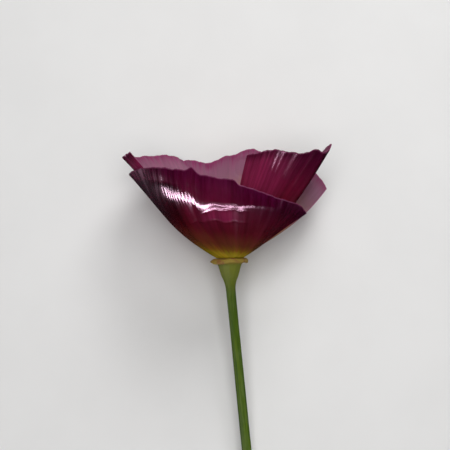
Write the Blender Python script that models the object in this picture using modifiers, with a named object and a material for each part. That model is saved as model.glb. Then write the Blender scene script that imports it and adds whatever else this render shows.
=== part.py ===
# California poppy, cut and laid down. Blender 4.5, metres, +Z up.
#
# The origin is on the surface, under the middle of the flower's box. The flower lies on the flattened
# outer face of its back petal and on the cut end of its stem. Everything is shaped in the flower's own
# frame, which an empty carries: its origin is the middle of the receptacle's top, its +Z runs up the
# flower's axis, and its -Y side faces up when the flower lies down.

import math
import random

import bmesh
import bpy
import numpy as np
from mathutils import Vector

MM = 0.001

# How the flower lies: the lean of its axis, the height of the receptacle, and its place on the surface.
LEAN = math.radians(12.5)
LIFT = 16.6
PLACE_X = 0.5
PLACE_Y = 17.8

# Petals: the thickness of the blade, the grid it is made on, and how long the two handles of a vein's
# curve are, as shares of the straight line from the claw to the rim.
BLADE = 0.6
ACROSS = 29
ALONG = 19
HANDLE_LOW = 0.42
HANDLE_HIGH = 0.38

# Shallow pleats run up each petal and deepen towards its rim.
PLEAT_DEPTH = 0.25
PLEATS = 3.5
PLEAT_START = 0.2

# A fold is a blunt ridge across a petal, this wide as a share of the vein, with its top rounded off.
FOLD_WIDTH = 0.30
FOLD_ROUND = 0.14

# The back petal rests on a small flat and a low point, where pleats touch the surface. Its curve runs into
# them over this height. Each has its middle, in the flower's x and z, and a radius. Round them the petal
# stands this much higher, which it reaches over this distance.
FLAT_BLEND = 1.2
REST_SPOTS = ((4.3, 25.65, 2.6), (-6.0, 25.35, 0.4))
REST_RISE = 0.2
REST_SOFT = 0.9

# A tucked petal narrows below its far corner. It takes this share of the vein to reach its full tuck.
TUCK_RUN = 0.25

# Each petal stands on a claw: its middle azimuth and half width in degrees, its radius and its height.
# Azimuth 0 faces up when the flower lies down, and 90 is at +X. A corner is cut back by its share of the
# vein. A vein is: place across the petal from -1 to 1, azimuth at the rim, rim radius, rim height, and
# angle from the flower's axis at the claw and at the rim. The rim stands out past the veins' ends by
# millimetres at places across. A fold has its height, and its share of the vein at places across. A tuck
# has its degrees and the place across where it starts.
FRONT_PETAL = {
    "middle": 0.0, "half_width": 70.0, "radius": 3.8, "foot": -0.25, "corners": (0.0, 0.0),
    "rim": ((-1.0, 0.0), (1.0, 0.0)),
    "fold": 0.9,
    "fold_line": (
        (-1.0, 0.96), (-0.75, 0.84), (-0.5, 0.81), (-0.27, 0.835), (-0.06, 0.73), (0.04, 0.785),
        (0.25, 0.81), (0.43, 0.865), (0.78, 0.91), (1.0, 0.97),
    ),
    "veins": (
        (-1.00, -86.0, 27.7, 23.1, 60.0, 43.0),
        (-0.75, -66.5, 25.9, 24.3, 65.0, 22.0),
        (-0.50, -45.2, 25.7, 24.7, 70.0, 8.0),
        (-0.32, -35.8, 25.0, 24.1, 74.0, 0.0),
        (-0.16, -26.0, 24.8, 24.2, 76.0, -5.0),
        (-0.03, -16.5, 24.9, 22.4, 78.0, -8.0),
        (0.20, 2.0, 25.0, 21.0, 78.0, 0.0),
        (0.31, 10.5, 25.0, 19.2, 77.0, 8.0),
        (0.50, 26.0, 25.0, 17.2, 76.0, 20.0),
        (0.78, 46.0, 24.5, 15.0, 68.0, 42.0),
        (1.00, 62.0, 23.8, 12.0, 59.0, 61.0),
    ),
}
RIGHT_PETAL = {
    "middle": 66.0, "half_width": 46.0, "radius": 2.4, "foot": 0.15, "corners": (0.0, 0.06),
    "rim": ((-1.0, 0.0), (1.0, 0.0)),
    "veins": (
        (-1.00, 16.0, 17.0, 28.1, 8.0, 42.0),
        (-0.50, 40.0, 17.8, 29.3, 24.0, 30.0),
        (0.00, 66.0, 21.8, 28.8, 40.0, 34.0),
        (0.17, 74.0, 24.8, 29.8, 44.0, 35.0),
        (0.32, 83.0, 27.4, 29.6, 52.0, 31.0),
        (0.50, 94.0, 28.6, 31.3, 56.0, 31.0),
        (0.66, 102.0, 28.2, 31.0, 55.0, 34.0),
        (1.00, 120.0, 26.5, 24.5, 50.0, 46.0),
    ),
}
LEFT_PETAL = {
    "middle": -108.0, "half_width": 46.0, "radius": 2.4, "foot": 0.15, "corners": (0.25, 0.0),
    "rim": ((-1.0, 0.0), (1.0, 0.0)), "tuck": (-13.0, 0.4),
    "veins": (
        (-1.00, -152.0, 22.7, 27.3, 40.0, 52.0),
        (-0.50, -132.0, 23.3, 29.0, 42.0, 37.0),
        (0.00, -110.0, 28.0, 28.4, 47.0, 43.0),
        (0.50, -90.0, 29.4, 28.4, 50.0, 44.0),
        (1.00, -76.0, 28.4, 29.1, 48.0, 48.0),
    ),
}
BACK_PETAL = {
    "middle": 172.0, "half_width": 52.0, "radius": 3.8, "foot": -0.25, "corners": (0.0, 0.04),
    "rim": ((-1.0, 0.0), (0.4, 0.0), (0.6, 1.4), (0.75, 1.4), (1.0, 0.0)),
    "veins": (
        (-1.00, 108.0, 29.3, 19.4, 60.0, 38.0),
        (-0.87, 116.0, 29.4, 22.3, 60.0, 38.0),
        (-0.75, 123.0, 29.0, 24.7, 62.0, 34.0),
        (-0.50, 138.0, 28.4, 28.2, 66.0, 26.0),
        (-0.08, 164.0, 25.8, 31.2, 66.0, 14.0),
        (0.18, 180.0, 26.0, 29.2, 66.0, 12.0),
        (0.46, 196.0, 25.3, 27.2, 66.0, 14.0),
        (1.00, 232.0, 25.5, 25.0, 60.0, 32.0),
    ),
}

# Stem: radius and height down its outside, from the middle of the cup in its top, over the cup's low
# upright rim and the collar, down the funnel and along the stalk to the cut end.
STEM_SIDES = 24
CUT_END = -71.2
STEM_PROFILE = (
    (0.0, -3.0), (1.2, -3.0), (1.45, -2.6), (1.75, -1.6), (1.95, -0.5), (2.3, -0.45),
    (2.5, -0.8), (3.3, -0.85), (4.4, -0.8), (5.0, -0.88), (5.2, -1.15), (5.15, -1.5),
    (4.85, -1.72), (4.1, -1.72), (3.5, -1.8), (3.25, -2.1), (3.05, -3.0), (2.8, -3.9),
    (2.38, -5.3), (1.8, -6.7), (1.47, -8.1), (1.36, -11.0), (1.32, -16.0), (1.33, -24.0),
    (1.35, -34.0), (1.36, -46.0),
    (1.37, -59.0), (1.4, CUT_END + 1.0), (1.3, CUT_END), (0.0, CUT_END),
)
# The collar is wavy outside this radius, and higher on its +X side.
COLLAR_START = 3.4
COLLAR_EDGE = 5.2
COLLAR_TILT = 0.3
COLLAR_WAVE = 0.25
COLLAR_WAVES = 3
# Below the bend the stalk leans towards +X by this slope.
BEND_HEIGHT = -6.0
BEND_ROUND = 2.5
STALK_SLOPE = 0.1

# Pistil: a ribbed seed pot on the floor of the cup, as radius and height from its top down, and
# thread-like stigmas that rise from it and spread.
POT_PROFILE = (
    (0.0, 4.9), (0.3, 4.8), (0.5, 3.8), (0.68, 2.0), (0.75, 0.0), (0.75, -1.8), (0.6, -2.7), (0.0, -2.7),
)
POT_SIDES = 20
POT_RIB = 0.06
STIGMAS = 6
STIGMA_RADIUS = 0.27
STIGMA_RUN = ((0.2, 4.0), (0.55, 6.0), (0.85, 8.4), (1.0, 10.6), (1.75, 11.9), (3.0, 12.6))

# Stamens: two rings of them on one low ring, which sits in the mouth of the cup round the seed pot.
RING_PROFILE = ((1.05, -0.5), (1.6, -0.5), (1.55, -1.0), (1.4, -1.6), (1.05, -1.6))
ROOT_RADIUS = 1.32
ROOT_HEIGHT = -1.2
FILAMENT = 0.26
ANTHER = 0.40
# For each ring of stamens: how many, radius and height of their tips.
STAMEN_RINGS = ((12, 3.0, 8.6), (9, 1.9, 9.6))
ANTHER_SHARE = 0.52


def clear_scene():
    """Removes whatever the open file holds."""
    for thing in list(bpy.data.objects):
        bpy.data.objects.remove(thing, do_unlink=True)


def make_collection(name):
    """A new collection under the scene's own."""
    collection = bpy.data.collections.new(name)
    bpy.context.scene.collection.children.link(collection)
    return collection


def make_material(name, colour, roughness):
    """A plain finish: colour, roughness and no metal."""
    material = bpy.data.materials.new(name)
    material.use_nodes = True
    shader = material.node_tree.nodes["Principled BSDF"]
    shader.inputs["Base Color"].default_value = (*colour, 1.0)
    shader.inputs["Roughness"].default_value = roughness
    shader.inputs["Metallic"].default_value = 0.0
    material.diffuse_color = (*colour, 1.0)
    return material


def add_axis(collection):
    """The empty that carries the flower's own frame to where the flower lies."""
    axis = bpy.data.objects.new("flower_axis", None)
    axis.location = (PLACE_X * MM, PLACE_Y * MM, LIFT * MM)
    axis.rotation_euler = (LEAN - math.radians(90.0), 0.0, 0.0)
    collection.objects.link(axis)
    return axis


def add_piece(name, mesh, material, collection, axis):
    """One sub-part, in the flower's frame."""
    mesh.materials.append(material)
    piece = bpy.data.objects.new(name, mesh)
    piece.parent = axis
    collection.objects.link(piece)
    return piece


def smooth(mesh, degrees):
    """Shades a mesh smooth, with edges sharper than the angle left sharp."""
    mesh.shade_smooth()
    mesh.set_sharp_from_angle(angle=math.radians(degrees))


def evaluated_mesh(thing):
    """The mesh of an object with its modifiers or bevel applied."""
    graph = bpy.context.evaluated_depsgraph_get()
    return bpy.data.meshes.new_from_object(thing.evaluated_get(graph))


def through(knots, values, at):
    """A smooth curve through values at uneven knots: each stretch is a cubic whose end slopes are the
    mean slopes of its neighbours."""
    slopes = np.gradient(values, knots)
    i = np.clip(np.searchsorted(knots, at, side="right") - 1, 0, len(knots) - 2)
    span = knots[i + 1] - knots[i]
    u = (at - knots[i]) / span
    rise = values[i] + (values[i + 1] - values[i]) * (3 * u**2 - 2 * u**3)
    return rise + span * (slopes[i] * (u**3 - 2 * u**2 + u) + slopes[i + 1] * (u**3 - u**2))


def outward(points):
    """Unit normals of a grid of points that goes round the flower's axis, facing away from the axis."""
    normal = np.cross(np.gradient(points, axis=0), np.gradient(points, axis=1))
    normal /= np.linalg.norm(normal, axis=-1, keepdims=True)
    away = np.sum(normal[..., :2] * points[..., :2])
    return normal * np.sign(away)


def pressed(points):
    """The grid with what would sink below the surface flattened onto it, half a blade up. The limit is
    the surface seen in the flower's frame, raised by REST_RISE away from the spots, and the curve runs
    into it over FLAT_BLEND."""
    apart = [np.hypot(points[..., 0] - x, points[..., 2] - z) - radius for x, z, radius in REST_SPOTS]
    rise = REST_RISE * np.clip(np.min(apart, axis=0) / REST_SOFT, 0, 1)
    limit = (LIFT + points[..., 2] * math.sin(LEAN) - BLADE / 2 - rise) / math.cos(LEAN)
    over = points[..., 1] - limit
    gap = (FLAT_BLEND - np.clip(over, -FLAT_BLEND, FLAT_BLEND))**2 / (4 * FLAT_BLEND)
    flat = points.copy()
    flat[..., 1] = np.where(over > -FLAT_BLEND, limit - gap, points[..., 1])
    return flat


def along_table(table, at):
    """A smooth curve through a table of places and values."""
    places, values = np.array(table).T
    return through(places, values, at)


def petal_points(form, across, along):
    """The middle surface of a petal as a grid. Each vein is a cubic curve in a plane through the
    flower's axis, from the claw to the rim, and its azimuth turns from the claw's to the rim's, most of
    it low down. The fold and the pleats then move the surface along its normal."""
    veins = np.array(form["veins"])
    side = np.linspace(-1.0, 1.0, across)[:, None]
    azimuth, radius, height, low, high = (through(veins[:, 0], veins[:, k], side) for k in range(1, 6))
    chord = np.hypot(radius - form["radius"], height - form["foot"])
    corner = np.where(side < 0, form["corners"][0], form["corners"][1])
    reach = 1 - corner * np.abs(side)**8 + along_table(form["rim"], side) / chord
    share = np.linspace(0.0, 1.0, along)[None, :] * reach
    low = np.radians(low)
    high = np.radians(high)
    weights = ((1 - share)**3, 3 * share * (1 - share)**2, 3 * share**2 * (1 - share), share**3)
    radii = (
        form["radius"],
        form["radius"] + HANDLE_LOW * chord * np.sin(low),
        radius - HANDLE_HIGH * chord * np.sin(high),
        radius,
    )
    heights = (
        form["foot"],
        form["foot"] + HANDLE_LOW * chord * np.cos(low),
        height - HANDLE_HIGH * chord * np.cos(high),
        height,
    )
    r = sum(weight * value for weight, value in zip(weights, radii))
    z = sum(weight * value for weight, value in zip(weights, heights))
    root = form["middle"] + form["half_width"] * side
    turn = root + (azimuth - root) * (1 - (1 - share)**3)
    if "tuck" in form:
        degrees, start = form["tuck"]
        inward = np.clip((side - start) / (1 - start), 0, 1)**2 * np.clip((1 - share) / TUCK_RUN, 0, 1)
        turn = turn + degrees * inward * share**0.5
    turn = np.radians(turn)
    points = np.stack([r * np.sin(turn), -r * np.cos(turn), z], axis=-1)
    wave = np.sin(2 * math.pi * (PLEATS * side + PLEAT_START))
    lift = PLEAT_DEPTH * share**3 * wave * (1 - side**4)
    if "fold" in form:
        top = along_table(form["fold_line"], side)
        ridge = np.clip(1 - np.hypot((share - top) / FOLD_WIDTH, FOLD_ROUND), 0, None)
        lift = lift + form["fold"] * ridge * (1 - side**6)
    return points + outward(points) * lift[..., None]


def make_petal(form, flat):
    """A petal's blade as a mesh of triangles, open at its edges. Solidify gives it its thickness."""
    points = petal_points(form, ACROSS, ALONG)
    if flat:
        points = pressed(points)
    blade = bmesh.new()
    bmesh.ops.create_grid(blade, x_segments=ACROSS - 1, y_segments=ALONG - 1, size=1.0)
    for vertex in blade.verts:
        i = round((vertex.co.x + 1) / 2 * (ACROSS - 1))
        j = round((vertex.co.y + 1) / 2 * (ALONG - 1))
        vertex.co = Vector(points[i, j] * MM)
    bmesh.ops.triangulate(blade, faces=blade.faces[:])
    mesh = bpy.data.meshes.new("petal")
    blade.to_mesh(mesh)
    blade.free()
    mesh.shade_smooth()
    return mesh


def add_petal(name, form, material, collection, axis, flat=False):
    """One petal, a blade of even thickness."""
    piece = add_piece(name, make_petal(form, flat), material, collection, axis)
    wall = piece.modifiers.new("blade", "SOLIDIFY")
    wall.thickness = BLADE * MM
    wall.offset = 0.0
    return piece


def turned_mesh(name, profile, sides, closed=False):
    """A profile of radius and height, turned once round the flower's axis and closed at its poles."""
    outline = bpy.data.meshes.new(name)
    vertices = [(radius * MM, 0.0, height * MM) for radius, height in profile]
    edges = [(i, i + 1) for i in range(len(profile) - 1)]
    if closed:
        edges.append((len(profile) - 1, 0))
    outline.from_pydata(vertices, edges, [])
    blank = bpy.data.objects.new(name, outline)
    bpy.context.scene.collection.objects.link(blank)
    turn = blank.modifiers.new("turn", "SCREW")
    turn.steps = sides
    turn.render_steps = sides
    turn.use_merge_vertices = True
    turn.merge_threshold = 0.01 * MM
    turned = evaluated_mesh(blank)
    bpy.data.objects.remove(blank, do_unlink=True)
    bpy.data.meshes.remove(outline)
    body = bmesh.new()
    body.from_mesh(turned)
    bmesh.ops.remove_doubles(body, verts=body.verts[:], dist=0.01 * MM)
    bmesh.ops.recalc_face_normals(body, faces=body.faces[:])
    body.to_mesh(turned)
    body.free()
    return turned


def mesh_points(mesh):
    """A mesh's vertices as an array in millimetres."""
    flat = np.empty(len(mesh.vertices) * 3)
    mesh.vertices.foreach_get("co", flat)
    return flat.reshape(-1, 3) / MM


def set_mesh_points(mesh, points):
    """Puts an array in millimetres back into a mesh."""
    mesh.vertices.foreach_set("co", (points * MM).ravel())
    mesh.update()


def add_stem(material, collection, axis):
    """Stalk, funnel, collar and cup, grown as one piece: turned, then waved at the collar, bent below
    the funnel, and flattened where the cut end touches the surface."""
    mesh = turned_mesh("stem", STEM_PROFILE, STEM_SIDES)
    points = mesh_points(mesh)
    radius = np.hypot(points[:, 0], points[:, 1])
    azimuth = np.arctan2(points[:, 0], -points[:, 1])
    out = np.clip((radius - COLLAR_START) / (COLLAR_EDGE - COLLAR_START), 0, 1)
    wave = COLLAR_TILT * np.sin(azimuth) + COLLAR_WAVE * np.sin(COLLAR_WAVES * azimuth + 0.6)
    points[:, 2] += out * wave
    below = BEND_HEIGHT - points[:, 2]
    points[:, 0] += STALK_SLOPE * (below + np.hypot(below, BEND_ROUND)) / 2
    floor = (LIFT + points[:, 2] * math.sin(LEAN)) / math.cos(LEAN)
    points[:, 1] = np.minimum(points[:, 1], floor)
    set_mesh_points(mesh, points)
    smooth(mesh, 50.0)
    return add_piece("stem", mesh, material, collection, axis)


def thread_mesh(name, path, radii):
    """A thread along a path of points, four-sided, with its own radius at each point and closed ends."""
    curve = bpy.data.curves.new(name, "CURVE")
    curve.dimensions = "3D"
    curve.bevel_depth = 1.0 * MM
    curve.bevel_resolution = 0
    curve.use_fill_caps = True
    spline = curve.splines.new("POLY")
    spline.points.add(len(path) - 1)
    for point, place, radius in zip(spline.points, path, radii):
        point.co = (place[0] * MM, place[1] * MM, place[2] * MM, 1.0)
        point.radius = radius
    guide = bpy.data.objects.new(name, curve)
    bpy.context.scene.collection.objects.link(guide)
    mesh = evaluated_mesh(guide)
    bpy.data.objects.remove(guide, do_unlink=True)
    bpy.data.curves.remove(curve)
    thread = bmesh.new()
    thread.from_mesh(mesh)
    bmesh.ops.remove_doubles(thread, verts=thread.verts[:], dist=0.01 * MM)
    bmesh.ops.recalc_face_normals(thread, faces=thread.faces[:])
    thread.to_mesh(mesh)
    thread.free()
    return mesh


def joined(core, threads):
    """One closed body from a core mesh and the threads that grow from it."""
    group = make_collection("to_join")
    for number, mesh in enumerate(threads):
        group.objects.link(bpy.data.objects.new(f"thread_{number}", mesh))
    body = bpy.data.objects.new("core", core)
    bpy.context.scene.collection.objects.link(body)
    union = body.modifiers.new("join", "BOOLEAN")
    union.operation = "UNION"
    union.operand_type = "COLLECTION"
    union.collection = group
    union.solver = "EXACT"
    mesh = evaluated_mesh(body)
    for thing in list(group.objects) + [body]:
        bpy.data.objects.remove(thing, do_unlink=True)
    bpy.data.collections.remove(group)
    return mesh


def round_axis(radius, azimuth, height):
    """A point in the flower's frame from its radius, azimuth in radians and height."""
    return (radius * math.sin(azimuth), -radius * math.cos(azimuth), height)


def add_pistil(material, collection, axis):
    """The seed pot with its ribs, and the stigmas that rise close together and then spread."""
    pot = turned_mesh("pot", POT_PROFILE, POT_SIDES)
    points = mesh_points(pot)
    azimuth = np.arctan2(points[:, 0], -points[:, 1])
    rib = 1 + POT_RIB * np.sin(azimuth * POT_SIDES / 2 + math.pi / 4)
    points[:, :2] *= rib[:, None]
    set_mesh_points(pot, points)
    draw = random.Random(3)
    threads = []
    for number in range(STIGMAS):
        turn = 2 * math.pi * (number + 0.5) / STIGMAS
        reach = draw.uniform(0.85, 1.1)
        path = [round_axis(r * reach if r > 1.2 else r, turn, z) for r, z in STIGMA_RUN]
        taper = np.linspace(1.0, 0.8, len(path))
        threads.append(thread_mesh("stigma", path, STIGMA_RADIUS * taper))
    mesh = joined(pot, threads)
    smooth(mesh, 40.0)
    return add_piece("pistil", mesh, material, collection, axis)


def stamen_mesh(turn, tip_radius, tip_height):
    """A filament that leans out from the ring, and the long anther at its top."""
    shares = (0.0, 0.28, ANTHER_SHARE, ANTHER_SHARE + 0.06, 0.88, 1.0)
    radii = (FILAMENT, FILAMENT, FILAMENT, ANTHER, ANTHER, 0.6 * FILAMENT)
    path = []
    for share in shares:
        radius = ROOT_RADIUS + (tip_radius - ROOT_RADIUS) * share**1.3
        path.append(round_axis(radius, turn, ROOT_HEIGHT + (tip_height - ROOT_HEIGHT) * share))
    return thread_mesh("stamen", path, radii)


def add_stamens(material, collection, axis):
    """All the stamens and the ring that they stand on, as one body."""
    ring = turned_mesh("ring", RING_PROFILE, STEM_SIDES, closed=True)
    draw = random.Random(7)
    threads = []
    for count, tip_radius, tip_height in STAMEN_RINGS:
        for number in range(count):
            turn = 2 * math.pi * (number + draw.uniform(-0.12, 0.12)) / count
            reach = tip_radius * draw.uniform(0.94, 1.04)
            threads.append(stamen_mesh(turn, reach, tip_height + draw.uniform(-0.7, 0.5)))
    mesh = joined(ring, threads)
    smooth(mesh, 50.0)
    return add_piece("stamens", mesh, material, collection, axis)


clear_scene()
poppy = make_collection("california_poppy")
flower_axis = add_axis(poppy)
petal_finish = make_material("petal", (0.13, 0.006, 0.03), 0.4)
stem_finish = make_material("stem", (0.12, 0.16, 0.04), 0.55)
stamen_finish = make_material("stamen", (0.75, 0.33, 0.02), 0.7)
pistil_finish = make_material("pistil", (0.28, 0.32, 0.06), 0.5)
add_stem(stem_finish, poppy, flower_axis)
add_pistil(pistil_finish, poppy, flower_axis)
add_stamens(stamen_finish, poppy, flower_axis)
add_petal("petal_front", FRONT_PETAL, petal_finish, poppy, flower_axis)
add_petal("petal_right", RIGHT_PETAL, petal_finish, poppy, flower_axis)
add_petal("petal_left", LEFT_PETAL, petal_finish, poppy, flower_axis)
add_petal("petal_back", BACK_PETAL, petal_finish, poppy, flower_axis, flat=True)
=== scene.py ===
import math

import bpy
import numpy as np
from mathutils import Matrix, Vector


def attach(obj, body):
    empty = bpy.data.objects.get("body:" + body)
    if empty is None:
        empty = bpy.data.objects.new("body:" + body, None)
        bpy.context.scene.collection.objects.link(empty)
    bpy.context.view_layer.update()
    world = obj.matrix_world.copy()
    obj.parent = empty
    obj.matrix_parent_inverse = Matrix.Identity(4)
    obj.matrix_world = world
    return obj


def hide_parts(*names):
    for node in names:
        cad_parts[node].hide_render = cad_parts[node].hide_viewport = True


# A California poppy of a deep burgundy kind, cut and laid down. Every piece below stands for the packed
# solid of the same part, keeps its place and form, and gives it the surface of the living one.
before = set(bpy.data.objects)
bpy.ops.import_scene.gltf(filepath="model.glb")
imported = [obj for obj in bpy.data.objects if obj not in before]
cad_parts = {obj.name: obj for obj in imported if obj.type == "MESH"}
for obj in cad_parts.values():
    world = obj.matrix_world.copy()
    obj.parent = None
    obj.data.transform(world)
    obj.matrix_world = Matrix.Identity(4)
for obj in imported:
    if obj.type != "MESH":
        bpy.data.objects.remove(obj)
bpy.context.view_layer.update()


# Stem
# The stalk, the funnel at its top and the collar round the funnel's mouth, grown as one piece of green flesh
# under a thin pale bloom. The collar is what is left where the bud's cap broke away. The stalk is cut below.

# One millimetre, in metres.
MM = 0.001

# The flower's own frame, in millimetres: its origin is the middle of the receptacle's top, +Z runs up its
# axis and -Y faces up as it lies. An azimuth of 0 is at -Y and one of 90 degrees at +X. As it lies, its axis
# is LEAN from level and its origin is LIFT above the surface, at PLACE_X and PLACE_Y.
LEAN = math.radians(12.5)
LIFT = 16.6
PLACE_X = 0.5
PLACE_Y = 17.8

# Radius and height down the outside: from the middle of the cup over its thin rim, out along the collar and
# round its turned-down edge, then down the funnel and the stalk to the cut.
CUT_END = -71.2
STEM_OUTLINE = (
    (0.0, -3.0), (0.8, -3.0), (1.3, -2.8), (1.6, -2.1), (1.9, -1.1), (2.1, -0.6), (2.3, -0.5),
    (2.6, -0.55), (3.2, -0.5), (3.9, -0.4), (4.5, -0.38), (4.95, -0.55), (5.2, -0.95), (5.2, -1.35),
    (5.08, -1.68), (4.88, -1.76), (4.7, -1.62), (4.45, -1.42), (4.1, -1.42), (3.75, -1.58),
    (3.5, -1.85), (3.3, -2.25), (3.05, -3.0), (2.8, -3.9), (2.38, -5.3), (1.8, -6.7), (1.47, -8.1),
    (1.36, -11.0), (1.32, -16.0), (1.33, -24.0), (1.35, -34.0), (1.36, -46.0), (1.37, -59.0),
    (1.38, -66.0), (1.39, CUT_END + 0.5), (1.36, CUT_END + 0.14), (1.24, CUT_END), (0.8, CUT_END),
    (0.0, CUT_END),
)

# How many sides it has all round, and how many rings from point to point of its outline.
STEM_SIDES = 120
STEM_STEPS = 9

# Outside this radius the collar waves, and its +X side is higher. Each wave: how many there are round it,
# how high, and its start.
COLLAR_START = 3.4
COLLAR_EDGE = 5.2
COLLAR_TILT = 0.3
COLLAR_WAVES = ((3, 0.20, 0.6), (5, 0.08, 2.1), (8, 0.05, 0.4))

# Round its -X side the collar runs out into a thin lip: its angle to each side, how far it reaches out and
# droops, how far its underside rises, and from what height down and over what depth the underside begins.
LIP_ANGLE = 0.75
LIP_REACH = 0.3
LIP_DROOP = 0.55
LIP_THIN = 0.75
UNDERSIDE_START = -0.7
UNDERSIDE_DEPTH = 0.8

# Faint ribs run down the skin, which starts at SKIN_TOP and lies outside SKIN_RADIUS: how many, and how deep
# as a share of the radius. They are full on the funnel, between its two heights, and softly fall to
# STALK_RIBS of that away from it.
SKIN_RADIUS = 1.2
SKIN_TOP = -2.2
SKIN_SOFT = 0.3
RIBS = 10
RIB_DEPTH = 0.022
FUNNEL = (-6.5, -2.6)
FUNNEL_SOFT = 1.5
STALK_RIBS = 0.35

# Below the bend the stalk leans towards +X by this slope.
BEND_HEIGHT = -6.0
BEND_ROUND = 2.5
STALK_SLOPE = 0.1


def through(knots, values, at):
    """A smooth curve through values at uneven knots: each stretch is a cubic whose end slopes are the mean
    slopes of its neighbours."""
    slopes = np.gradient(values, knots)
    i = np.clip(np.searchsorted(knots, at, side="right") - 1, 0, len(knots) - 2)
    span = knots[i + 1] - knots[i]
    u = (at - knots[i]) / span
    rise = values[i] + (values[i + 1] - values[i]) * (3 * u**2 - 2 * u**3)
    return rise + span * (slopes[i] * (u**3 - 2 * u**2 + u) + slopes[i + 1] * (u**3 - u**2))


def smooth_outline(outline, steps):
    """Radius and height along a smooth curve through an outline, with this many steps from point to point.
    The curve's knots are the lengths run along the outline."""
    radius, height = np.array(outline).T
    run = np.append(0.0, np.cumsum(np.hypot(np.diff(radius), np.diff(height))))
    count = (len(outline) - 1) * steps + 1
    at = np.interp(np.linspace(0, len(outline) - 1, count), np.arange(len(outline)), run)
    return np.clip(through(run, radius, at), 0, None), through(run, height, at)


def window(value, low, high, soft):
    """One between low and high, falling smoothly to nothing over a distance of soft outside them."""
    rise = np.clip((value - low) / soft + 1, 0, 1)
    fall = np.clip((high - value) / soft + 1, 0, 1)
    return rise**2 * (3 - 2 * rise) * fall**2 * (3 - 2 * fall)


def laid_down(points):
    """Points of the flower's frame, in millimetres, where they lie in the row's frame, in metres: turned
    about X until the flower's axis is LEAN from level, then moved to the flower's place."""
    s = math.sin(LEAN)
    c = math.cos(LEAN)
    turn = np.array(((1.0, 0.0, 0.0), (0.0, s, c), (0.0, -c, s)))
    return (points @ turn.T + (PLACE_X, PLACE_Y, LIFT)) * MM


def round_axis(radius, azimuth, height):
    """Points from radius, azimuth in radians and height: (r sin a, -r cos a, z)."""
    radius, azimuth, height = np.broadcast_arrays(radius, azimuth, height)
    return np.stack([radius * np.sin(azimuth), -radius * np.cos(azimuth), height], axis=-1)


def closed_tubes(points):
    """Vertices and faces of closed tubes from an array of copies x rings x sides x 3. The rings go down and
    their sides anticlockwise seen from above. The first and last ring become one vertex each, where the
    tube closes."""
    copies, rings, sides, _ = points.shape
    body = points[:, 1:-1].reshape(copies, -1, 3)
    vertices = np.concatenate([points[:, 0, :1], body, points[:, -1, :1]], axis=1)
    here = np.arange(sides)
    there = (here + 1) % sides
    ring = 1 + sides * np.arange(rings - 3)[:, None]
    quads = np.stack([ring + here, ring + sides + here, ring + sides + there, ring + there], axis=-1)
    foot = 1 + sides * (rings - 3)
    top_fan = np.stack([0 * here, 1 + here, 1 + there], axis=-1)
    foot_fan = np.stack([0 * here + foot + sides, foot + there, foot + here], axis=-1)
    faces = []
    for start in vertices.shape[1] * np.arange(copies):
        faces += (quads.reshape(-1, 4) + start).tolist()
        faces += (top_fan + start).tolist() + (foot_fan + start).tolist()
    return vertices.reshape(-1, 3), faces


def add_piece(name, points, faces, grown, finishes, stands_for):
    """A smooth piece from points of the flower's frame, riding on the one body. `grown` is a vector for each
    vertex that the finishes read, kept as the attribute of that name."""
    mesh = bpy.data.meshes.new(name)
    mesh.from_pydata(laid_down(points).tolist(), [], faces)
    kept = mesh.attributes.new("grown", "FLOAT_VECTOR", "POINT")
    kept.data.foreach_set("vector", grown.astype(np.float32).ravel())
    for finish in finishes:
        mesh.materials.append(finish)
    mesh.shade_smooth()
    piece = bpy.data.objects.new(name, mesh)
    bpy.context.scene.collection.objects.link(piece)
    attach(piece, "root")
    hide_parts(stands_for)
    return piece


def stem_surface():
    """The stem as closed rings, and the same rings as they grew. The outline is turned; the funnel and the
    stalk have faint ribs, r (1 + d cos(RIBS a + 0.3 sin 3a)). The collar waves by a sum of sines of the
    azimuth. On its lip, a bell curve of the azimuth, the edge is drawn out, lowered and thinned from below.
    The stalk then leans along a hyperbola, and what would sink below the surface is pressed flat."""
    radius, height = smooth_outline(STEM_OUTLINE, STEM_STEPS)
    azimuth = 2 * math.pi * np.arange(STEM_SIDES)[None, :] / STEM_SIDES
    radius = radius[:, None]
    height = height[:, None]
    grown = round_axis(radius, azimuth, height)
    ribbed = STALK_RIBS + (1 - STALK_RIBS) * window(height, *FUNNEL, FUNNEL_SOFT)
    skin = window(height, CUT_END + SKIN_SOFT, SKIN_TOP, SKIN_SOFT) * (radius > SKIN_RADIUS)
    ribs = 1 + RIB_DEPTH * ribbed * skin * np.cos(RIBS * azimuth + 0.3 * np.sin(3 * azimuth))
    out = np.clip((radius - COLLAR_START) / (COLLAR_EDGE - COLLAR_START), 0, 1)
    lift = COLLAR_TILT * np.sin(azimuth)
    for count, depth, phase in COLLAR_WAVES:
        lift = lift + depth * np.sin(count * azimuth + phase)
    lip = np.exp(-((azimuth - 1.5 * math.pi) / LIP_ANGLE)**2) * out
    under = np.clip((UNDERSIDE_START - height) / UNDERSIDE_DEPTH, 0, 1)
    lift = lift * out + lip * (LIP_THIN * under - LIP_DROOP * out)
    points = round_axis(radius * ribs + LIP_REACH * lip * out, azimuth, height + lift)
    below = BEND_HEIGHT - points[..., 2]
    points[..., 0] += STALK_SLOPE * (below + np.hypot(below, BEND_ROUND)) / 2
    floor = (LIFT + points[..., 2] * math.sin(LEAN)) / math.cos(LEAN)
    points[..., 1] = np.minimum(points[..., 1], floor)
    return points, grown


def new_finish(name):
    """A new material, with its node tree and its shader."""
    material = bpy.data.materials.new(name)
    material.use_nodes = True
    return material, material.node_tree, material.node_tree.nodes["Principled BSDF"]


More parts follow.
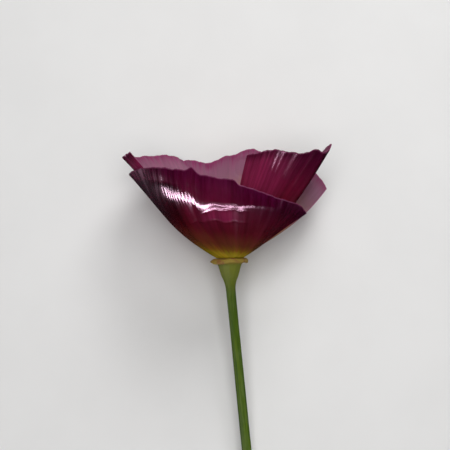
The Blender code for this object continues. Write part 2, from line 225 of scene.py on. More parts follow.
def add_node(tree, kind, inputs, **settings):
    """A shader node of this kind, its settings made and each of its inputs linked or set."""
    made = tree.nodes.new("ShaderNode" + kind)
    for name, value in settings.items():
        setattr(made, name, value)
    for socket, value in inputs.items():
        if isinstance(value, bpy.types.NodeSocket):
            tree.links.new(value, made.inputs[socket])
        else:
            made.inputs[socket].default_value = value
    return made


def grown_place(tree):
    """The attribute that a piece keeps for its finishes, as a vector."""
    return add_node(tree, "Attribute", {}, attribute_name="grown").outputs["Vector"]


def drawn_noise(tree, place, stretch, detail=3.0, roughness=0.6):
    """Noise from 0 to 1 whose grain has `stretch` turns to each unit of the place along its three ways."""
    drawn = add_node(tree, "VectorMath", {0: place, 1: stretch}, operation="MULTIPLY")
    inputs = {"Vector": drawn.outputs[0], "Scale": 1.0, "Detail": detail, "Roughness": roughness}
    return add_node(tree, "TexNoise", inputs, noise_dimensions="3D").outputs["Fac"]


def blended(tree, amount, first, second):
    """Two colours blended by an amount from 0 to 1."""
    made = add_node(tree, "Mix", {0: amount, 6: first, 7: second}, data_type="RGBA", blend_type="MIX")
    return made.outputs[2]


def ranged(tree, value, low, high, start=0.0, end=1.0):
    """A value carried smoothly from the range low to high to the range start to end, and held there."""
    inputs = {"Value": value, "From Min": low, "From Max": high, "To Min": start, "To Max": end}
    return add_node(tree, "MapRange", inputs, interpolation_type="SMOOTHSTEP").outputs["Result"]


def calculated(tree, operation, first, second):
    """Two values taken together by one operation of arithmetic."""
    return add_node(tree, "Math", {0: first, 1: second}, operation=operation).outputs[0]


def raised(tree, shader, height, strength, distance):
    """Gives a shader a fine relief from a height."""
    bump = add_node(tree, "Bump", {"Height": height, "Strength": strength, "Distance": distance})
    tree.links.new(bump.outputs["Normal"], shader.inputs["Normal"])


STALK_DARK = (0.042, 0.082, 0.009, 1.0)
STALK_LIGHT = (0.085, 0.135, 0.012, 1.0)
FUNNEL_GREEN = (0.165, 0.185, 0.028, 1.0)
COLLAR_CREAM = (0.300, 0.220, 0.045, 1.0)
COLLAR_PINK = (0.250, 0.125, 0.045, 1.0)
CUP_GREEN = (0.200, 0.200, 0.050, 1.0)
PITH = (0.330, 0.380, 0.170, 1.0)
BLOOM = (0.330, 0.370, 0.250, 1.0)


def stem_finish():
    """Green flesh, streaked lengthwise, under a pale waxy bloom; a cream collar flushed pink, and a pale wet
    pith on the cut."""
    material, tree, shader = new_finish("stem")
    place = grown_place(tree)
    parts = add_node(tree, "SeparateXYZ", {0: place}).outputs
    height = parts["Z"]
    flat = add_node(tree, "VectorMath", {0: place, 1: (1.0, 1.0, 0.0)}, operation="MULTIPLY")
    radius = add_node(tree, "VectorMath", {0: flat.outputs[0]}, operation="LENGTH").outputs["Value"]
    streaks = drawn_noise(tree, place, (2.4, 2.4, 0.07))
    clouds = drawn_noise(tree, place, (0.5, 0.5, 0.16), detail=4.0)
    colour = blended(tree, ranged(tree, streaks, 0.34, 0.66), STALK_DARK, STALK_LIGHT)
    colour = blended(tree, ranged(tree, height, -12.0, -3.0), colour, FUNNEL_GREEN)
    bloom = calculated(tree, "MULTIPLY", ranged(tree, clouds, 0.40, 0.72), 0.08)
    colour = blended(tree, bloom, colour, BLOOM)
    flush = ranged(tree, drawn_noise(tree, place, (0.42, 0.42, 0.3), detail=2.0), 0.42, 0.60)
    collar = blended(tree, flush, COLLAR_CREAM, COLLAR_PINK)
    on_collar = calculated(tree, "MULTIPLY", ranged(tree, height, -2.3, -1.8),
                           ranged(tree, radius, 3.1, 3.9))
    colour = blended(tree, on_collar, colour, collar)
    in_cup = calculated(tree, "MULTIPLY", ranged(tree, height, -3.5, -3.2), ranged(tree, radius, 3.1, 2.3))
    colour = blended(tree, in_cup, colour, CUP_GREEN)
    on_cut = calculated(tree, "MULTIPLY", ranged(tree, height, CUT_END + 0.03, CUT_END + 0.01),
                        ranged(tree, radius, 1.25, 1.05))
    colour = blended(tree, on_cut, colour, PITH)
    tree.links.new(colour, shader.inputs["Base Color"])
    tree.links.new(ranged(tree, clouds, 0.3, 0.7, 0.46, 0.64), shader.inputs["Roughness"])
    shader.inputs["Subsurface Weight"].default_value = 0.12
    shader.inputs["Subsurface Radius"].default_value = (0.9, 1.0, 0.4)
    shader.inputs["Subsurface Scale"].default_value = 1.0 * MM
    shader.inputs["Specular IOR Level"].default_value = 0.02
    grain = drawn_noise(tree, place, (7.0, 7.0, 0.5), detail=4.0)
    raised(tree, shader, grain, 0.35, 0.12 * MM)
    return material


stem_points, stem_grown = stem_surface()
stem_vertices, stem_faces = closed_tubes(stem_points[None])
stem_kept, _ = closed_tubes(stem_grown[None])
add_piece("stem_flesh", stem_vertices, stem_faces, stem_kept, [stem_finish()], "stem")


# Pistil
# The seed pot, a slim green spindle with ten ribs that stands in the cup, and the stigmas that it carries:
# thin pale threads, fused at their foot, which rise close together and then spread.

POT_OUTLINE = (
    (0.0, 5.0), (0.2, 4.9), (0.34, 4.5), (0.48, 3.6), (0.62, 2.2), (0.72, 0.6), (0.76, -0.8), (0.72, -1.9),
    (0.6, -2.6), (0.3, -2.8), (0.0, -2.8),
)
POT_SIDES = 80
POT_RIBS = 10
POT_RIB_DEPTH = 0.09

# Radius, height and half thickness along a stigma. Each is longer or shorter by its own rate.
STIGMAS = 6
STIGMA_RUN = (
    (0.12, 3.6, 0.24), (0.30, 5.0, 0.24), (0.55, 6.6, 0.22), (0.82, 8.4, 0.20), (1.0, 10.4, 0.19),
    (1.7, 11.8, 0.17), (2.9, 12.5, 0.14), (3.25, 12.6, 0.0),
)
STIGMA_SIDES = 12
STIGMA_STEPS = 8
STIGMA_RATES = (0.9, 1.05, 0.86, 1.1, 0.97, 1.02)


def carried(path, across, deep, outline):
    """A section carried along paths. `path` is copies x rings x 3 and runs upwards; `across` and `deep` are
    the section's half sizes there, and `outline` is its radius and angle at each side. Each ring stands on
    the path's tangent, with its width level and its depth at right angles to both. The rings come out in
    order from the top down."""
    tangent = np.gradient(path, axis=1)
    tangent /= np.linalg.norm(tangent, axis=-1, keepdims=True)
    outer = path * (1.0, 1.0, 0.0) + (0.0, -1e-6, 0.0)
    outer = outer.mean(axis=1, keepdims=True) + 0 * path
    level = np.cross(outer, tangent)
    level /= np.linalg.norm(level, axis=-1, keepdims=True)
    depth = np.cross(tangent, level)
    reach, angle = outline
    wide = (across[..., None] * reach * np.cos(angle))[..., None]
    tall = (deep[..., None] * reach * np.sin(angle))[..., None]
    rings = path[:, :, None] + level[:, :, None] * wide + depth[:, :, None] * tall
    return rings[:, ::-1]


def pistil_surface():
    """The pot is its outline turned and ribbed, r (1 + d |cos(5 a)|). Each stigma is a round section carried
    along a smooth run in its own plane through the axis, longer or shorter by its rate."""
    radius, height = smooth_outline(POT_OUTLINE, 6)
    azimuth = 2 * math.pi * np.arange(POT_SIDES) / POT_SIDES
    ribs = 1 + POT_RIB_DEPTH * (np.abs(np.cos(azimuth * POT_RIBS / 2)) - 0.5)
    pot = round_axis(radius[:, None] * ribs, azimuth[None, :], height[:, None])
    run = np.array(STIGMA_RUN)
    at = np.linspace(0, len(run) - 1, (len(run) - 1) * STIGMA_STEPS + 1)
    away, up, thick = (through(np.arange(len(run)), run[:, k], at) for k in range(3))
    turn = 2 * math.pi * (np.arange(STIGMAS)[:, None] + 0.5) / STIGMAS
    rate = np.array(STIGMA_RATES)[:, None]
    reach = away * (1 + (rate - 1) * (away > 1.0))
    path = round_axis(reach, turn + 0.12 * away, up * (1 + 0.25 * (rate - 1)))
    thick = np.clip(thick, 0, None) + 0 * rate
    angle = 2 * math.pi * np.arange(STIGMA_SIDES) / STIGMA_SIDES
    return pot, carried(path, thick, thick, (np.ones(STIGMA_SIDES), angle))


POT_GREEN = (0.150, 0.210, 0.045, 1.0)
POT_RIDGE = (0.260, 0.300, 0.090, 1.0)
STIGMA_PALE = (0.560, 0.500, 0.200, 1.0)


def pistil_finish():
    """Green, paler on the ribs, running out into pale yellow stigmas with a fine nap."""
    material, tree, shader = new_finish("pistil")
    place = grown_place(tree)
    height = add_node(tree, "SeparateXYZ", {0: place}).outputs["Z"]
    streaks = drawn_noise(tree, place, (5.0, 5.0, 0.25))
    colour = blended(tree, ranged(tree, streaks, 0.35, 0.65), POT_GREEN, POT_RIDGE)
    colour = blended(tree, ranged(tree, height, 4.2, 8.0), colour, STIGMA_PALE)
    tree.links.new(colour, shader.inputs["Base Color"])
    shader.inputs["Roughness"].default_value = 0.55
    shader.inputs["Subsurface Weight"].default_value = 0.15
    shader.inputs["Subsurface Radius"].default_value = (0.8, 0.8, 0.3)
    shader.inputs["Subsurface Scale"].default_value = 0.6 * MM
    nap = drawn_noise(tree, place, (14.0, 14.0, 9.0), detail=2.0)
    raised(tree, shader, nap, 0.5, 0.1 * MM)
    return material


def several(groups):
    """Vertices and faces of groups of closed tubes as one mesh."""
    vertices = []
    faces = []
    for group in groups:
        more, more_faces = closed_tubes(group)
        start = sum(len(part) for part in vertices)
        vertices.append(more)
        faces += [[corner + start for corner in face] for face in more_faces]
    return np.concatenate(vertices), faces


pot_points, stigma_points = pistil_surface()
pistil_vertices, pistil_faces = several([pot_points[None], stigma_points])
add_piece(
    "seed_pot_and_stigmas", pistil_vertices, pistil_faces, pistil_vertices, [pistil_finish()],
    "pistil",
)


# Stamens
# The flower's ring of stamens: short filaments that stand on the cup's floor round the seed pot, each with a
# long golden anther of two lobes, grooved between them and dusted with pollen.

# For each ring: how many, radius and height of the tips, and by what part of a step it is turned.
STAMEN_RINGS = ((13, 3.05, 8.5, 0.0), (11, 2.35, 9.2, 0.5), (8, 1.7, 9.7, 0.25))
ROOT_RADIUS = 1.3
ROOT_HEIGHT = -1.5

# An anther fills the upper part of its stamen, from this share on. Then the half sizes of filament and
# anther, and the form of the anther's two lobes.
ANTHER_START = 0.50
FILAMENT_HALF = 0.17
ANTHER_HALF = 0.42
ANTHER_DEPTH = 0.27
LOBE_SPREAD = 0.20
LOBE_GROOVE = 0.13
STAMEN_SIDES = 16
STAMEN_STEPS = 44


def stamen_surface(count, tip_radius, tip_height, step, draw):
    """A ring of stamens. Each leans out along r = root + (tip - root) s^1.3 with a small bow of its own. Its
    section is round up to the anther, then widens by a smooth window into two lobes,
    1 + LOBE_SPREAD cos 2t - LOBE_GROOVE cos 4t, and closes in a point."""
    share = 1 - (1 - np.linspace(0, 1, STAMEN_STEPS))**1.2
    turn = 2 * math.pi * (np.arange(count)[:, None] + step + draw.uniform(-0.14, 0.14, (count, 1))) / count
    reach = tip_radius * draw.uniform(0.92, 1.06, (count, 1))
    top = tip_height + draw.uniform(-0.8, 0.5, (count, 1))
    bow = draw.uniform(-0.25, 0.25, (count, 1)) * np.sin(math.pi * share)
    away = ROOT_RADIUS + (reach - ROOT_RADIUS) * share**1.3 + 0.6 * bow
    path = round_axis(away, turn + 0.3 * bow, ROOT_HEIGHT + (top - ROOT_HEIGHT) * share)
    anther = window(share, ANTHER_START + 0.035, 0.94, 0.035)
    tip = np.clip((1 - share) / 0.03, 0, 1)**0.5
    foot = np.clip(share / 0.004, 0, 1)
    wide = (FILAMENT_HALF + (ANTHER_HALF - FILAMENT_HALF) * anther) * tip * foot
    deep = (FILAMENT_HALF + (ANTHER_DEPTH - FILAMENT_HALF) * anther) * tip * foot
    angle = 2 * math.pi * np.arange(STAMEN_SIDES) / STAMEN_SIDES
    lobes = 1 + anther[:, None] * (LOBE_SPREAD * np.cos(2 * angle) - LOBE_GROOVE * np.cos(4 * angle))
    points = carried(path, wide + 0 * turn, deep + 0 * turn, (lobes, angle))
    place = np.stack([0 * share + step, share, 0 * share], axis=-1)[::-1]
    number = np.arange(count)[:, None, None, None] * (1.0, 0.0, 0.0)
    return points, place[None, :, None] + number + 0 * points


ANTHER_GOLD = (0.720, 0.330, 0.018, 1.0)
POLLEN = (0.860, 0.520, 0.050, 1.0)
FILAMENT_DARK = (0.300, 0.110, 0.030, 1.0)


def stamen_finish():
    """Golden anthers with a rough dust of pollen, on filaments that darken towards the cup."""
    material, tree, shader = new_finish("stamen")
    place = grown_place(tree)
    share = add_node(tree, "SeparateXYZ", {0: place}).outputs["Y"]
    object_place = add_node(tree, "TexCoord", {}).outputs["Object"]
    dust = drawn_noise(tree, object_place, (9000.0, 9000.0, 9000.0), detail=2.0)
    gold = blended(tree, ranged(tree, dust, 0.42, 0.66), ANTHER_GOLD, POLLEN)
    on_anther = ranged(tree, share, ANTHER_START - 0.06, ANTHER_START + 0.03)
    colour = blended(tree, on_anther, FILAMENT_DARK, gold)
    tree.links.new(colour, shader.inputs["Base Color"])
    shader.inputs["Roughness"].default_value = 0.8
    shader.inputs["Specular IOR Level"].default_value = 0.25
    raised(tree, shader, dust, 0.6, 0.12 * MM)
    return material


pollen_draw = np.random.default_rng(7)
stamen_groups = [stamen_surface(*ring, pollen_draw) for ring in STAMEN_RINGS]
stamen_vertices, stamen_faces = several([points for points, place in stamen_groups])
stamen_kept, _ = several([place for points, place in stamen_groups])
add_piece(
    "stamens_and_anthers", stamen_vertices, stamen_faces, stamen_kept, [stamen_finish()],
    "stamens",
)


# Petals
# Four thin petals, satin outside and pale and matte inside, each grown on a narrow claw inside the collar.
# They are pleated from their time in the bud. The front one is folded across, and the back one lies flat.

# Thickness, and the stations of the grid: even in between, with a few close ones where the edges are round.
PETAL_THICK = 0.22
SIDE_STEPS = 250
SHARE_STEPS = 160
CLOSE_FROM = 0.62
CLOSE_RATE = 1.6
EDGE = 0.008
EDGE_STATIONS = (0.0, 0.12, 0.4, 0.7)

# The handles of a vein's curve at the claw and at the rim, as shares of its chord.
HANDLE_LOW = 0.42
HANDLE_HIGH = 0.38

# Shallow pleats run up each petal and deepen towards its rim, with finer ones on them: depth, how many
# across, and start. Ruffles are such waves of the rim alone, and nicks are waves of its outline.
PLEATS = ((0.11, 3.5, 0.2), (0.03, 11.3, 0.1), (0.012, 23.7, 0.6))
RUFFLES = ((0.10, 4.3, 0.35), (0.04, 9.1, 0.7))
RIM_NICKS = ((0.06, 6.3, 0.0), (0.035, 13.7, 0.4), (0.02, 31.3, 0.2))

# The fold across the front petal is a ridge this wide as a share of the vein. Its top is a narrow flat with
# rounded edges: places across the petal with the flat's half width and with the roundness.
FOLD_WIDTH = 0.30
FOLD_FLAT = (
    (-1.0, 0.025), (-0.6, 0.030), (-0.42, 0.040), (-0.24, 0.042), (-0.12, 0.024), (-0.03, 0.013),
    (0.2, 0.011), (0.5, 0.011), (1.0, 0.02),
)
FOLD_ROUND = (
    (-1.0, 0.16), (-0.55, 0.10), (-0.25, 0.06), (-0.12, 0.04), (0.0, 0.03), (0.6, 0.03), (1.0, 0.12),
)

# Two lesser creases run below the fold and a shallow groove above its left part: the share of the vein at
# places across. Each has its height, and its half widths below and above. It fades out before its ends.
LOW_CREASE = (
    (-0.30, 0.53), (-0.12, 0.575), (0.0, 0.615), (0.05, 0.63), (0.13, 0.61), (0.23, 0.65), (0.36, 0.68),
)
HIGH_CREASE = (
    (-0.10, 0.660), (-0.02, 0.695), (0.05, 0.73), (0.13, 0.735), (0.22, 0.765), (0.34, 0.80),
)
GROOVE = (
    (-0.85, 0.93), (-0.62, 0.905), (-0.45, 0.90), (-0.25, 0.885), (-0.12, 0.85), (0.02, 0.835),
)
CREASES = (
    (0.15, 0.011, 0.015, LOW_CREASE),
    (0.12, 0.016, 0.014, HIGH_CREASE),
    (-0.10, 0.045, 0.045, GROOVE),
)
CREASE_END = 0.08
CREASE_SOFT = 0.1

# Left of the fold's dip the ridge is puckered: depth, waves across the petal, their turn along the vein, and
# the places across and shares of the vein that they fill, each with how softly they end there.
PUCKER = 0.04
PUCKER_WAVES = 27.0
PUCKER_TURN = 5.0
PUCKER_ACROSS = (-0.45, -0.15, 0.12)
PUCKER_ALONG = (0.74, 0.86, 0.08)

# The back petal rests on spots: x, z and radius of each in the flower's frame. Round them it stands higher.
FLAT_BLEND = 1.2
REST_SPOTS = ((4.3, 25.65, 2.6), (-6.0, 25.35, 0.4))
REST_RISE = 0.2
REST_SOFT = 0.9

# Between the low crease and the fold the front petal has a paler, pinker patch, a painted sheen where the
# facet between them catches the light: by how much, its places across with how softly it ends there, and
# over what share of the vein it starts at the crease and fades out towards the fold.
PAINTED_SHEEN = 0.50
PAINTED_SHEEN_ACROSS = (0.02, 0.16, 0.16)
PAINTED_SHEEN_START = 0.025
PAINTED_SHEEN_FADE = 0.09

# Its left flank is darker up to the groove, as painted shade: places across and shares of the vein, each
# with how softly the dark ends there, over what share below the groove it fades out, and between which
# places across it follows the groove.
PAINTED_SHADE_ACROSS = (-1.0, -0.42, 0.2)
PAINTED_SHADE_ALONG = (0.7, 1.0, 0.4)
PAINTED_SHADE_FADE = 0.03
GROOVE_ACROSS = (-0.85, 0.0)

# A tucked petal narrows below its far corner: by how many degrees, from what place across, and over what
# share of the vein.
TUCK_RUN = 0.25

# Each petal stands on a claw: its middle azimuth and half width in degrees, its radius and its height. A
# corner is cut back by its share of the vein. A vein is: place across the petal from -1 to 1, azimuth at the
# rim, rim radius, rim height, and angle from the flower's axis at the claw and at the rim. The rim stands
# out past the veins' ends by millimetres at places across. The outer colour blends into a paler one, a
# painted glow of light shining through the thin petal, by an amount from 0 to 1 at places across. A fold
# has its height and its share of the vein at places across.
FRONT_PETAL = {
    "middle": 0.0, "half_width": 70.0, "radius": 3.8, "foot": -0.25, "corners": (0.0, 0.0),
    "fold": 0.9,
    "fold_line": (
        (-1.0, 0.96), (-0.75, 0.84), (-0.5, 0.81), (-0.38, 0.825), (-0.27, 0.835), (-0.2, 0.81),
        (-0.13, 0.765), (-0.06, 0.725), (-0.01, 0.745), (0.04, 0.785), (0.14, 0.79), (0.25, 0.81),
        (0.31, 0.835), (0.43, 0.865), (0.53, 0.885), (0.78, 0.91), (1.0, 0.97),
    ),
    "rim": (
        (-1.0, 0.0), (-0.9, 0.3), (-0.8, 0.4), (-0.62, 0.0), (-0.3, -0.15), (-0.16, -0.15), (-0.135, 0.4),
        (-0.115, 0.25), (-0.095, -0.1), (0.0, 0.0), (0.08, -0.25), (0.18, -0.1), (0.215, -0.1),
        (0.235, -0.4), (0.29, -0.15), (0.42, 0.0), (0.58, -0.25), (0.615, -0.05), (0.64, -0.2),
        (0.77, 0.1), (0.9, 0.4), (1.0, 0.0),
    ),
    "pale": ((-1.0, 0.12), (-0.4, 0.1), (0.0, 0.13), (0.5, 0.0), (1.0, 0.0)),
    "veins": (
        (-1.00, -86.0, 28.2, 23.1, 60.0, 43.0),
        (-0.75, -66.5, 25.9, 24.3, 65.0, 22.0),
        (-0.50, -45.2, 25.7, 24.7, 70.0, 8.0),
        (-0.32, -35.8, 25.0, 24.1, 74.0, 0.0),
        (-0.16, -26.0, 24.8, 24.2, 76.0, -5.0),
        (-0.03, -16.5, 24.9, 22.4, 78.0, -8.0),
        (0.20, 2.0, 25.0, 21.0, 78.0, 0.0),
        (0.31, 10.5, 25.0, 19.2, 77.0, 8.0),
        (0.50, 26.0, 25.0, 17.2, 76.0, 20.0),
        (0.78, 46.0, 24.5, 15.0, 68.0, 42.0),
        (1.00, 62.0, 23.8, 12.0, 59.0, 61.0),
    ),
}
RIGHT_PETAL = {
    "middle": 66.0, "half_width": 46.0, "radius": 2.4, "foot": 0.15, "corners": (0.0, 0.06),
    "rim": (
        (-1.0, 0.0), (-0.81, -0.2), (-0.56, 0.1), (-0.3, 0.25), (-0.05, 0.1), (0.08, -0.3), (0.12, -0.4),
        (0.15, 0.05), (0.19, 0.0), (0.225, -0.25), (0.4, 0.0), (0.585, 0.5), (0.7, 0.3), (1.0, 0.0),
    ),
    "pale": (
        (-1.0, 0.8), (-0.4, 0.65), (-0.1, 0.4), (0.05, 0.2), (0.3, 0.1), (0.5, 0.0), (0.7, 0.0), (1.0, 0.2),
    ),
    "veins": (
        (-1.00, 16.0, 17.0, 28.1, 8.0, 42.0),
        (-0.50, 40.0, 17.8, 29.3, 24.0, 30.0),
        (0.00, 66.0, 21.8, 28.8, 40.0, 34.0),
        (0.17, 74.0, 24.8, 29.8, 44.0, 35.0),
        (0.32, 83.0, 27.4, 29.6, 52.0, 31.0),
        (0.50, 94.0, 28.6, 31.3, 56.0, 31.0),
        (0.66, 102.0, 28.2, 31.0, 55.0, 34.0),
        (1.00, 120.0, 26.5, 24.5, 50.0, 46.0),
    ),
}
LEFT_PETAL = {
    "middle": -108.0, "half_width": 46.0, "radius": 2.4, "foot": 0.15, "corners": (0.25, 0.0),
    "tuck": (-13.0, 0.4),
    "rim": ((-1.0, 0.0), (-0.75, 0.25), (-0.55, 0.25), (-0.27, 0.1), (0.0, 0.1), (0.5, 0.0), (1.0, 0.0)),
    "pale": ((-1.0, 0.3), (0.3, 0.3), (0.7, 0.6), (1.0, 0.8)),
    "veins": (
        (-1.00, -152.0, 22.7, 27.3, 40.0, 52.0),
        (-0.50, -132.0, 23.3, 29.0, 42.0, 37.0),
        (0.00, -110.0, 28.0, 28.4, 47.0, 43.0),
        (0.50, -90.0, 30.0, 27.8, 50.0, 44.0),
        (1.00, -76.0, 28.4, 29.1, 48.0, 48.0),
    ),
}
BACK_PETAL = {
    "middle": 172.0, "half_width": 52.0, "radius": 3.8, "foot": -0.25, "corners": (0.0, 0.04),
    "rim": (
        (-1.0, 0.0), (-0.9, -0.1), (-0.8, 0.0), (-0.3, 0.0), (-0.2, -0.5), (-0.14, -0.5), (-0.08, 0.2),
        (0.02, 0.3), (0.1, 0.0), (0.17, 0.1), (0.24, 0.4), (0.31, 0.0), (0.4, -0.2), (0.5, 0.35), (0.6, 1.5),
        (0.75, 1.5), (1.0, 0.0),
    ),
    "pale": ((-1.0, 0.6), (-0.5, 0.3), (1.0, 0.2)),
    "veins": (
        (-1.00, 108.0, 29.3, 19.4, 60.0, 38.0),
        (-0.87, 116.0, 29.4, 22.3, 60.0, 38.0),
        (-0.75, 123.0, 29.0, 24.7, 62.0, 34.0),
        (-0.50, 138.0, 28.4, 28.2, 66.0, 26.0),
        (-0.08, 164.0, 25.8, 31.2, 66.0, 14.0),
        (0.18, 180.0, 26.0, 29.2, 66.0, 12.0),
        (0.46, 196.0, 25.3, 27.2, 66.0, 14.0),
        (1.00, 232.0, 25.5, 25.0, 60.0, 32.0),
    ),
}


def outward(points):
    """Unit normals of a grid of points that goes round the flower's axis, facing away from the axis."""
    normal = np.cross(np.gradient(points, axis=0), np.gradient(points, axis=1))
    normal /= np.linalg.norm(normal, axis=-1, keepdims=True)
    return normal * np.sign(np.sum(normal[..., :2] * points[..., :2]))


def pressed(points):
    """The grid with what would sink below the surface flattened onto it, half a petal up and, away from the
    spots, higher by REST_RISE. The curve runs into the flat over FLAT_BLEND."""
    apart = [np.hypot(points[..., 0] - x, points[..., 2] - z) - radius for x, z, radius in REST_SPOTS]
    rise = REST_RISE * np.clip(np.min(apart, axis=0) / REST_SOFT, 0, 1)
    limit = (LIFT + points[..., 2] * math.sin(LEAN) - PETAL_THICK / 2 - rise) / math.cos(LEAN)
    over = points[..., 1] - limit
    gap = (FLAT_BLEND - np.clip(over, -FLAT_BLEND, FLAT_BLEND))**2 / (4 * FLAT_BLEND)
    flat = points.copy()
    flat[..., 1] = np.where(over > -FLAT_BLEND, limit - gap, points[..., 1])
    return flat


def along_table(table, at):
    """A smooth curve through a table of places and values."""
    places, values = np.array(table).T
    return through(places, values, at)


def waves(table, at):
    """A sum of sine waves, each with its depth, how many there are across a petal, and its start."""
    return sum(depth * np.sin(2 * math.pi * (count * at + start)) for depth, count, start in table)


def vein_surface(form, side, share):
    """The plain middle surface of a petal. Each vein is a cubic curve in a plane through the flower's axis,
    from the claw to the rim, and its azimuth turns from the claw's to the rim's, most of it low down. The
    rim's own outline lengthens or shortens a vein."""
    veins = np.array(form["veins"])
    azimuth, radius, height, low, high = (through(veins[:, 0], veins[:, k], side) for k in range(1, 6))
    corner = np.where(side < 0, form["corners"][0], form["corners"][1])
    chord = np.hypot(radius - form["radius"], height - form["foot"])
    rim = along_table(form["rim"], side) + waves(RIM_NICKS, side)
    share = share * (1 - corner * np.abs(side)**8 + rim / chord)
    low = np.radians(low)
    high = np.radians(high)
    weights = ((1 - share)**3, 3 * share * (1 - share)**2, 3 * share**2 * (1 - share), share**3)
    radii = (
        form["radius"],
        form["radius"] + HANDLE_LOW * chord * np.sin(low),
        radius - HANDLE_HIGH * chord * np.sin(high),
        radius,
    )
    heights = (
        form["foot"],
        form["foot"] + HANDLE_LOW * chord * np.cos(low),
        height - HANDLE_HIGH * chord * np.cos(high),
        height,
    )
    r = sum(weight * value for weight, value in zip(weights, radii))
    z = sum(weight * value for weight, value in zip(weights, heights))
    root = form["middle"] + form["half_width"] * side
    turn = root + (azimuth - root) * (1 - (1 - share)**3)
    if "tuck" in form:
        degrees, start = form["tuck"]
        low_down = np.clip((1 - share) / TUCK_RUN, 0, 1)
        turn = turn + degrees * np.clip((side - start) / (1 - start), 0, 1)**2 * low_down * share**0.5
    return round_axis(r, np.radians(turn), z)


def petal_relief(form, side, share):
    """How far a petal's middle surface stands out from its plain one: pleats that deepen with the cube of
    the share, ruffles that grow with its 12th power, and on a folded petal a ridge along the fold, creases
    beside it and puckers on it. The ridge falls as 1 - hypot(distance / FOLD_WIDTH, roundness), a crease as
    exp(-|distance / half width|^1.5), and the puckers are a sine of the places across and along."""
    inner = 1 - side**4
    lift = waves(PLEATS, side) * share**3 * inner + waves(RUFFLES, side) * share**12
    if "fold" in form:
        top = along_table(form["fold_line"], side)
        past = np.clip(np.abs(share - top) - along_table(FOLD_FLAT, side), 0, None)
        ridge = np.clip(1 - np.hypot(past / FOLD_WIDTH, along_table(FOLD_ROUND, side)), 0, None)
        lift = lift + form["fold"] * ridge * (1 - side**6)
        for depth, below, above, table in CREASES:
            past = share - along_table(table, side)
            here = window(side, table[0][0] + CREASE_END, table[-1][0] - CREASE_END, CREASE_SOFT)
            lift = lift + depth * here * np.exp(-np.abs(past / np.where(past < 0, below, above))**1.5)
        here = window(side, *PUCKER_ACROSS) * window(share, *PUCKER_ALONG)
        lift = lift + PUCKER * here * np.sin(2 * math.pi * (PUCKER_WAVES * side + PUCKER_TURN * share))
    return lift


def painted_glow_sheen_and_shade(form, side, share):
    """How pale a petal is painted, from 0 to 1, and where it is painted darker, down to -1. It is the
    petal's table of places across, a painted glow of light shining through the thin petal, and, on a folded
    petal, more by the painted sheen on the patch below the fold and, on its flank, blended towards -1 by
    painted shade. Patch and flank are products of soft windows across and along."""
    # The petal's table: a painted glow of light shining through the thin petal.
    pale = along_table(form["pale"], side) + 0 * share
    if "fold" in form:
        # Painted sheen: a paler, pinker patch between the low crease and the fold.
        crease = along_table(LOW_CREASE, side)
        fold = along_table(form["fold_line"], side)
        above_crease = window(share, crease + PAINTED_SHEEN_START, 1.0, PAINTED_SHEEN_START)
        below_fold = window(share, 0.0, fold - PAINTED_SHEEN_FADE, PAINTED_SHEEN_FADE)
        pale = pale + PAINTED_SHEEN * window(side, *PAINTED_SHEEN_ACROSS) * above_crease * below_fold
        # Painted shade on the left flank, up to the groove.
        groove = along_table(GROOVE, np.clip(side, *GROOVE_ACROSS))
        below_groove = window(share, 0.0, groove - PAINTED_SHADE_FADE, PAINTED_SHADE_FADE)
        deep = window(side, *PAINTED_SHADE_ACROSS) * window(share, *PAINTED_SHADE_ALONG) * below_groove
        pale = pale * (1 - deep) - deep
    return pale


def petal_sheets(form, flat):
    """The outer and inner face of a petal, and for each point its place across and along it and how pale it
    is painted by the painted glow, sheen and shade. Both faces stand half the thickness off the middle
    surface, and meet in a round edge. The grid is closer towards the rim, where its step shrinks by
    CLOSE_RATE."""
    ends = EDGE * np.array(EDGE_STATIONS)
    side = np.concatenate([ends - 1, np.linspace(EDGE - 1, 1 - EDGE, SIDE_STEPS), 1 - ends[::-1]])[:, None]
    even = np.linspace(0, 1, SHARE_STEPS)
    run = np.cumsum(1 / (1 + (CLOSE_RATE - 1) * window(even, CLOSE_FROM, 1.0, 0.2)))
    inner_share = (1 - EDGE) * (run - run[0]) / (run[-1] - run[0])
    share = np.append(inner_share, 1 - ends[::-1])[None, :]
    points = vein_surface(form, side, share)
    points = points + outward(points) * petal_relief(form, side, share)[..., None]
    if flat:
        points = pressed(points)
    inset = np.minimum(np.minimum(1 - np.abs(side), 1 - share) / EDGE, 1)
    half = PETAL_THICK / 2 * np.sqrt(1 - (1 - inset)**2)
    away = outward(points) * half[..., None]
    # The third value is the painted glow, sheen and shade that the finishes read.
    place = np.stack([side + 0 * share, share + 0 * side, painted_glow_sheen_and_shade(form, side, share)], axis=-1)
    return points + away, points - away, place


def petal_mesh(outer, inner, place):
    """Vertices, faces and places of a petal closed round its edges, outer faces first. The two sheets share
    the vertices of their margins, rim and claw."""
    across, along, _ = outer.shape
    front = np.arange(across * along).reshape(across, along)
    back = front.copy()
    back[1:-1, 1:-1] = across * along + np.arange((across - 2) * (along - 2)).reshape(across - 2, along - 2)
    vertices = np.concatenate([outer.reshape(-1, 3), inner[1:-1, 1:-1].reshape(-1, 3)])
    places = np.concatenate([place.reshape(-1, 3), place[1:-1, 1:-1].reshape(-1, 3)])

    def quads(grid):
        corners = (grid[:-1, :-1], grid[1:, :-1], grid[1:, 1:], grid[:-1, 1:])
        return np.stack(corners, axis=-1).reshape(-1, 4)

    faces = np.concatenate([quads(front), quads(back)[:, ::-1]])
    return vertices, faces.tolist(), places


def along_ramp(tree, value, stops):
    """Colours along a petal, as place and colour from the claw to the rim."""
    ramp = add_node(tree, "ValToRGB", {"Fac": value})
    stripes = ramp.color_ramp.elements
    while len(stripes) < len(stops):
        stripes.new(1.0)
    for stripe, (place, colour) in zip(stripes, stops):
        stripe.position = place
        stripe.color = (*colour, 1.0)
    return ramp.outputs["Color"]
